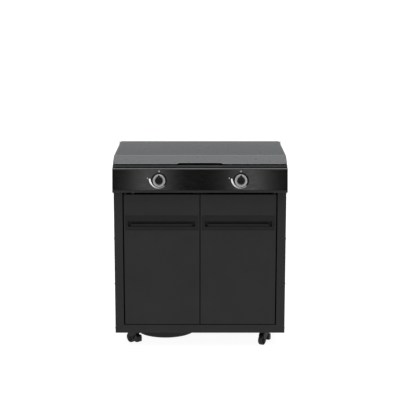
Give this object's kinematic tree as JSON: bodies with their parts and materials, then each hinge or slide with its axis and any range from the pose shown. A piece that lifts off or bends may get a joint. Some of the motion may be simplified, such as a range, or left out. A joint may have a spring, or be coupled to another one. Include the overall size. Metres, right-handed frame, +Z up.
{
  "type": "flat top griddle cart",
  "caption": "Flat top gas griddle under a hinged lid, on a two-door cabinet with casters, push-turn knobs, a cylinder tray and a pull-out grease cup.",
  "frame": {"origin": "on the floor under the middle of the bounding box", "axes": "+X to the object's right side as seen from the front, -Y to the front, +Z up"},
  "size_m": [0.8266, 0.6224, 0.928],
  "materials": {
    "matte_black_paint": "satin powder coat",
    "lid_paint": "satin powder coat, dark grey",
    "gloss_black_enamel": "gloss enamel",
    "griddle_steel": "seasoned",
    "zinc_steel": "zinc plated",
    "stainless_steel": "brushed",
    "cast_brass": "as cast",
    "knob_plastic": "semi-gloss",
    "satin_chrome": "satin",
    "handle_plastic": "matte",
    "caster_plastic": "matte",
    "wheel_rubber": "matte",
    "ceramic": null
  },
  "bodies": {
    "cabinet": {"front_frame": "matte_black_paint", "left_side_panel": "matte_black_paint", "right_side_panel": "matte_black_paint", "back_panel": "matte_black_paint", "bottom_panel": "matte_black_paint", "tank_tray": "matte_black_paint", "door_catch": "handle_plastic", "control_box": "matte_black_paint", "control_fascia": "gloss_black_enamel", "body_side_left": "matte_black_paint", "body_side_right": "matte_black_paint", "body_rear": "matte_black_paint", "heat_shield": "zinc_steel", "firewall": "zinc_steel", "top_rim": "matte_black_paint", "griddle_plate": "griddle_steel", "grease_chute": "stainless_steel", "cup_holder": "zinc_steel", "gas_manifold": "zinc_steel", "lid_hinge_bracket_left": "matte_black_paint", "burner_left": "stainless_steel", "igniter_left": "ceramic", "valve_body_left": "cast_brass", "left_door_lower_pin": "matte_black_paint", "left_door_upper_pin": "matte_black_paint", "lid_hinge_bracket_right": "matte_black_paint", "burner_right": "stainless_steel", "igniter_right": "ceramic", "valve_body_right": "cast_brass", "right_door_lower_pin": "matte_black_paint", "right_door_upper_pin": "matte_black_paint", "caster_plate_front_left": "zinc_steel", "caster_plate_front_right": "zinc_steel", "caster_plate_rear_left": "zinc_steel", "caster_plate_rear_right": "zinc_steel"},
    "lid": {"lid_shell": "lid_paint"},
    "left_door": {"left_door_panel": "matte_black_paint", "left_door_handle": "handle_plastic"},
    "right_door": {"right_door_panel": "matte_black_paint", "right_door_handle": "handle_plastic"},
    "grease_cup": {"grease_cup": "stainless_steel"},
    "left_knob_push": {"stem_collar_left": "zinc_steel"},
    "left_knob": {"knob_grip_left": "knob_plastic", "knob_ring_left": "satin_chrome", "valve_stem_left": "zinc_steel"},
    "right_knob_push": {"stem_collar_right": "zinc_steel"},
    "right_knob": {"knob_grip_right": "knob_plastic", "knob_ring_right": "satin_chrome", "valve_stem_right": "zinc_steel"},
    "caster_front_left": {"caster_fork_front_left": "caster_plastic"},
    "wheel_front_left": {"caster_wheel_front_left": "wheel_rubber"},
    "brake_front_left": {"brake_pedal_front_left": "caster_plastic"},
    "caster_front_right": {"caster_fork_front_right": "caster_plastic"},
    "wheel_front_right": {"caster_wheel_front_right": "wheel_rubber"},
    "brake_front_right": {"brake_pedal_front_right": "caster_plastic"},
    "caster_rear_left": {"caster_fork_rear_left": "caster_plastic"},
    "wheel_rear_left": {"caster_wheel_rear_left": "wheel_rubber"},
    "caster_rear_right": {"caster_fork_rear_right": "caster_plastic"},
    "wheel_rear_right": {"caster_wheel_rear_right": "wheel_rubber"}
  },
  "joints": [
    {"name": "lid_hinge", "type": "hinge", "parent": "cabinet", "child": "lid", "pos_m": [0, 0.2795, 0.9065], "axis": [-1, 0, 0], "range_deg": [0, 95]},
    {"name": "left_door_hinge", "type": "hinge", "parent": "cabinet", "child": "left_door", "pos_m": [-0.35, -0.255, 0.4375], "axis": [0, 0, -1], "range_deg": [0, 105]},
    {"name": "right_door_hinge", "type": "hinge", "parent": "cabinet", "child": "right_door", "pos_m": [0.35, -0.255, 0.4375], "axis": [0, 0, 1], "range_deg": [0, 105]},
    {"name": "grease_cup_slide", "type": "slide", "parent": "cabinet", "child": "grease_cup", "axis": [0, 1, 0], "range_m": [0, 0.075]},
    {"name": "left_knob_push", "type": "slide", "parent": "cabinet", "child": "left_knob_push", "axis": [0, 0.9826, -0.1858], "range_m": [0, 0.003], "stiffness_N_per_m": 3000, "springref_m": -0.002},
    {"name": "left_knob_turn", "type": "hinge", "parent": "left_knob_push", "child": "left_knob", "pos_m": [-0.191, -0.28389, 0.82245], "axis": [0, -0.9826, 0.1858], "range_deg": [0, 210]},
    {"name": "right_knob_push", "type": "slide", "parent": "cabinet", "child": "right_knob_push", "axis": [0, 0.9826, -0.1858], "range_m": [0, 0.003], "stiffness_N_per_m": 3000, "springref_m": -0.002},
    {"name": "right_knob_turn", "type": "hinge", "parent": "right_knob_push", "child": "right_knob", "pos_m": [0.191, -0.28389, 0.82245], "axis": [0, -0.9826, 0.1858], "range_deg": [0, 210]},
    {"name": "caster_swivel_front_left", "type": "hinge", "parent": "cabinet", "child": "caster_front_left", "pos_m": [-0.316, -0.183, 0.068], "axis": [0, 0, 1], "continuous": true},
    {"name": "wheel_roll_front_left", "type": "hinge", "parent": "caster_front_left", "child": "wheel_front_left", "pos_m": [-0.33509, -0.16391, 0.025], "axis": [-0.7071, -0.7071, 0], "continuous": true},
    {"name": "brake_pedal_front_left", "type": "hinge", "parent": "caster_front_left", "child": "brake_front_left", "pos_m": [-0.30751, -0.19148, 0.0485], "axis": [0.7071, 0.7071, 0], "range_deg": [0, 14]},
    {"name": "caster_swivel_front_right", "type": "hinge", "parent": "cabinet", "child": "caster_front_right", "pos_m": [0.316, -0.183, 0.068], "axis": [0, 0, 1], "continuous": true},
    {"name": "wheel_roll_front_right", "type": "hinge", "parent": "caster_front_right", "child": "wheel_front_right", "pos_m": [0.30169, -0.2059, 0.025], "axis": [0.848, -0.5299, 0], "continuous": true},
    {"name": "brake_pedal_front_right", "type": "hinge", "parent": "caster_front_right", "child": "brake_front_right", "pos_m": [0.32236, -0.17282, 0.0485], "axis": [-0.848, 0.5299, 0], "range_deg": [0, 14]},
    {"name": "caster_swivel_rear_left", "type": "hinge", "parent": "cabinet", "child": "caster_rear_left", "pos_m": [-0.316, 0.153, 0.068], "axis": [0, 0, 1], "continuous": true},
    {"name": "wheel_roll_rear_left", "type": "hinge", "parent": "caster_rear_left", "child": "wheel_rear_left", "pos_m": [-0.32069, 0.17959, 0.025], "axis": [-0.9848, -0.1736, 0], "continuous": true},
    {"name": "caster_swivel_rear_right", "type": "hinge", "parent": "cabinet", "child": "caster_rear_right", "pos_m": [0.316, 0.153, 0.068], "axis": [0, 0, 1], "continuous": true},
    {"name": "wheel_roll_rear_right", "type": "hinge", "parent": "caster_rear_right", "child": "wheel_rear_right", "pos_m": [0.32069, 0.17959, 0.025], "axis": [-0.9848, 0.1736, 0], "continuous": true}
  ]
}
